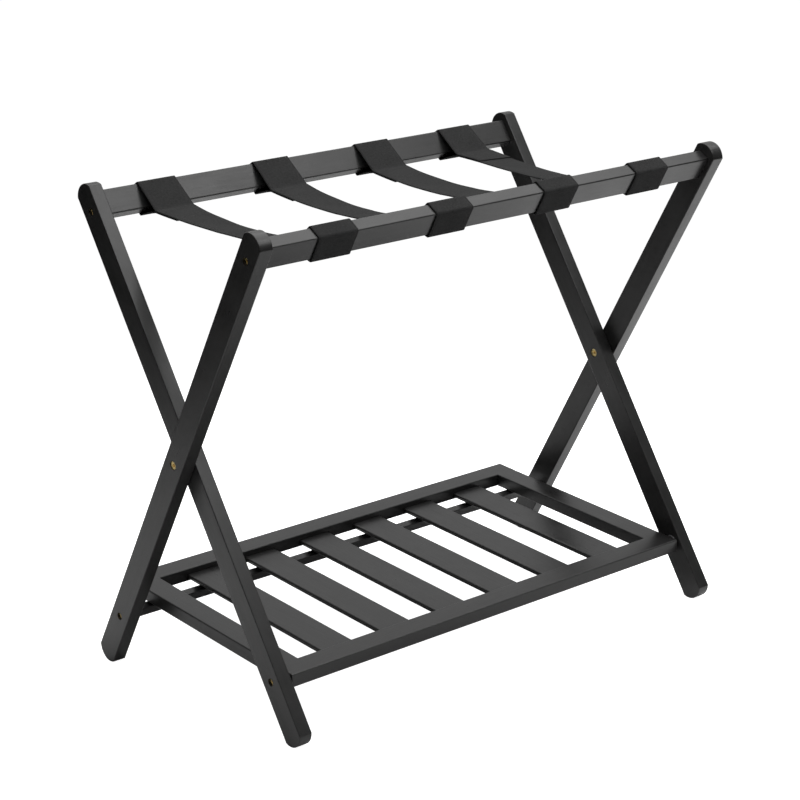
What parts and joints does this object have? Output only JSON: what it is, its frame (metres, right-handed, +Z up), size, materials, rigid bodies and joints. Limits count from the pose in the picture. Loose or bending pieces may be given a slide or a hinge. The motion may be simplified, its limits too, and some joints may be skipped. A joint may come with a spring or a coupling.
{
  "type": "folding luggage rack",
  "caption": "Folding wooden luggage rack with crossed leg frames, webbing straps across the top and a slatted shelf hinged between the legs.",
  "frame": {"origin": "centre of the overall box, on the floor that the feet stand on", "axes": "+X along the top rails, +Y to the rear, where the inner frame's top rail is, +Z up"},
  "size_m": [0.664, 0.3732, 0.5678],
  "materials": {
    "black_paint": "satin black paint on solid wood",
    "black_webbing": "matt woven webbing",
    "brass_screw": "plain brass, satin",
    "steel_washer": "satin"
  },
  "bodies": {
    "outer_frame": {"outer_leg_left": "black_paint", "front_rail_screw_left": "brass_screw", "stretcher_screw_left": "brass_screw", "pivot_bolt_left": "brass_screw", "pivot_nut_left": "brass_screw", "pivot_washer_left": "steel_washer", "outer_leg_right": "black_paint", "front_rail_screw_right": "brass_screw", "stretcher_screw_right": "brass_screw", "pivot_bolt_right": "brass_screw", "pivot_nut_right": "brass_screw", "pivot_washer_right": "steel_washer", "front_top_rail": "black_paint", "rear_stretcher": "black_paint", "strap_1_front_loop": "black_webbing", "strap_2_front_loop": "black_webbing", "strap_3_front_loop": "black_webbing", "strap_4_front_loop": "black_webbing"},
    "inner_frame": {"inner_leg_left": "black_paint", "rear_rail_screw_left": "brass_screw", "shelf_spacer_left": "steel_washer", "inner_leg_right": "black_paint", "rear_rail_screw_right": "brass_screw", "shelf_spacer_right": "steel_washer", "rear_top_rail": "black_paint", "strap_1_rear_loop": "black_webbing", "strap_2_rear_loop": "black_webbing", "strap_3_rear_loop": "black_webbing", "strap_4_rear_loop": "black_webbing"},
    "shelf_frame": {"shelf_screw_left": "brass_screw", "shelf_side_bar_left": "black_paint", "shelf_screw_right": "brass_screw", "shelf_side_bar_right": "black_paint", "shelf_front_bar": "black_paint", "shelf_rear_bar": "black_paint", "slat_1": "black_paint", "slat_2": "black_paint", "slat_3": "black_paint", "slat_4": "black_paint", "slat_5": "black_paint", "slat_6": "black_paint"},
    "straps_front": {"strap_1_front_span": "black_webbing", "strap_2_front_span": "black_webbing", "strap_3_front_span": "black_webbing", "strap_4_front_span": "black_webbing"},
    "straps_rear": {"strap_1_rear_span": "black_webbing", "strap_2_rear_span": "black_webbing", "strap_3_rear_span": "black_webbing", "strap_4_rear_span": "black_webbing"}
  },
  "joints": [
    {"name": "fold", "type": "hinge", "parent": "outer_frame", "child": "inner_frame", "pos_m": [0, 0, 0.2833], "axis": [1, 0, 0], "range_deg": [0, 55]},
    {"name": "shelf_lift", "type": "hinge", "parent": "inner_frame", "child": "shelf_frame", "pos_m": [0, -0.13733, 0.06607], "axis": [1, 0, 0], "range_deg": [0, 54]},
    {"name": "front_straps_flex", "type": "hinge", "parent": "outer_frame", "child": "straps_front", "pos_m": [0, -0.14601, 0.53326], "axis": [1, 0, 0], "range_deg": [-54, 0], "deforming": ["strap_1_front_span", "strap_2_front_span", "strap_3_front_span", "strap_4_front_span"]},
    {"name": "rear_straps_flex", "type": "hinge", "parent": "inner_frame", "child": "straps_rear", "pos_m": [0, 0.14601, 0.53326], "axis": [1, 0, 0], "range_deg": [0, 54], "deforming": ["strap_1_rear_span", "strap_2_rear_span", "strap_3_rear_span", "strap_4_rear_span"]}
  ],
  "couplings": [
    {"joint": "front_straps_flex", "follows": "fold", "ratio": -0.9647},
    {"joint": "rear_straps_flex", "follows": "fold", "ratio": 0.9647}
  ]
}
